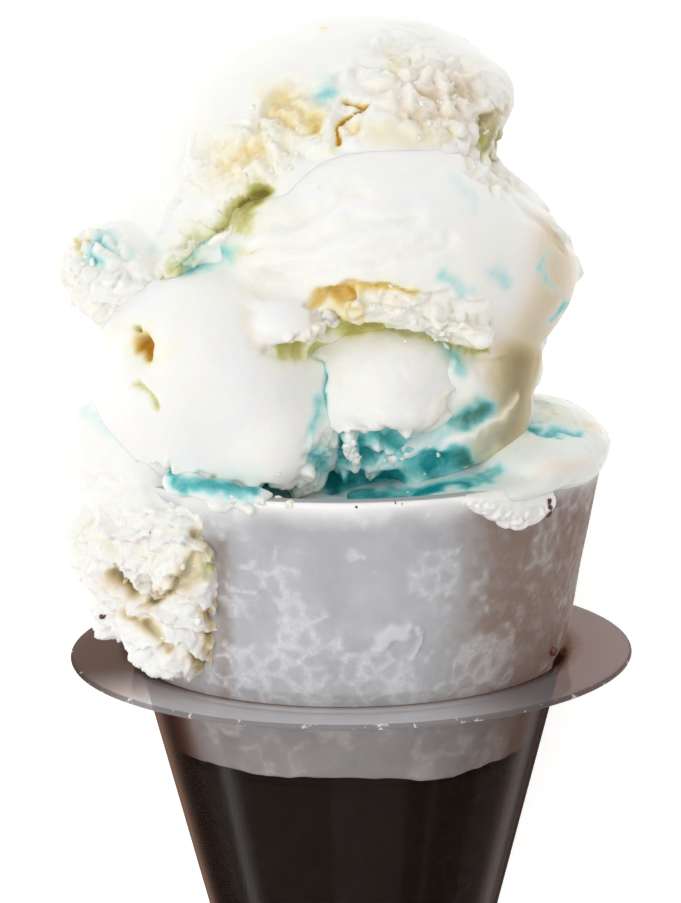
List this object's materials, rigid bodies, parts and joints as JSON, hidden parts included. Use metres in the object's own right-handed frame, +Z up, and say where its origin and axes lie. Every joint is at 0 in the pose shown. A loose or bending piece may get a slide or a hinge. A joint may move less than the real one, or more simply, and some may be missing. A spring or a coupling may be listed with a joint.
{
  "type": "ice cream cone",
  "caption": "Dark wafer cone in a clear flanged holder, its upper part dipped in a pale coating, heaped with scoops of white ice cream that spill and melt over the rim.",
  "frame": {"origin": "on the floor, under the middle of the bounding box", "axes": "+Y from the cone's tip to the scoops, +Z up out of the shown side, +X to the shown side's right"},
  "size_m": [0.0882, 0.207, 0.0878],
  "materials": {
    "holder": "clear, faintly smoky, glossy",
    "cone": "very dark baked wafer, satin",
    "coating": "pale grey coating with frosty flecks, satin",
    "ice_cream": "soft white ice cream with blue and yellow streaks",
    "melted_ice_cream": "melting white ice cream, wet"
  },
  "bodies": {
    "root": {"holder": "holder", "cone": "cone", "coating": "coating", "scoop_top": "ice_cream", "scoop_middle": "ice_cream", "scoop_bottom": "ice_cream", "spill": "ice_cream", "melt": "melted_ice_cream"}
  },
  "joints": []
}
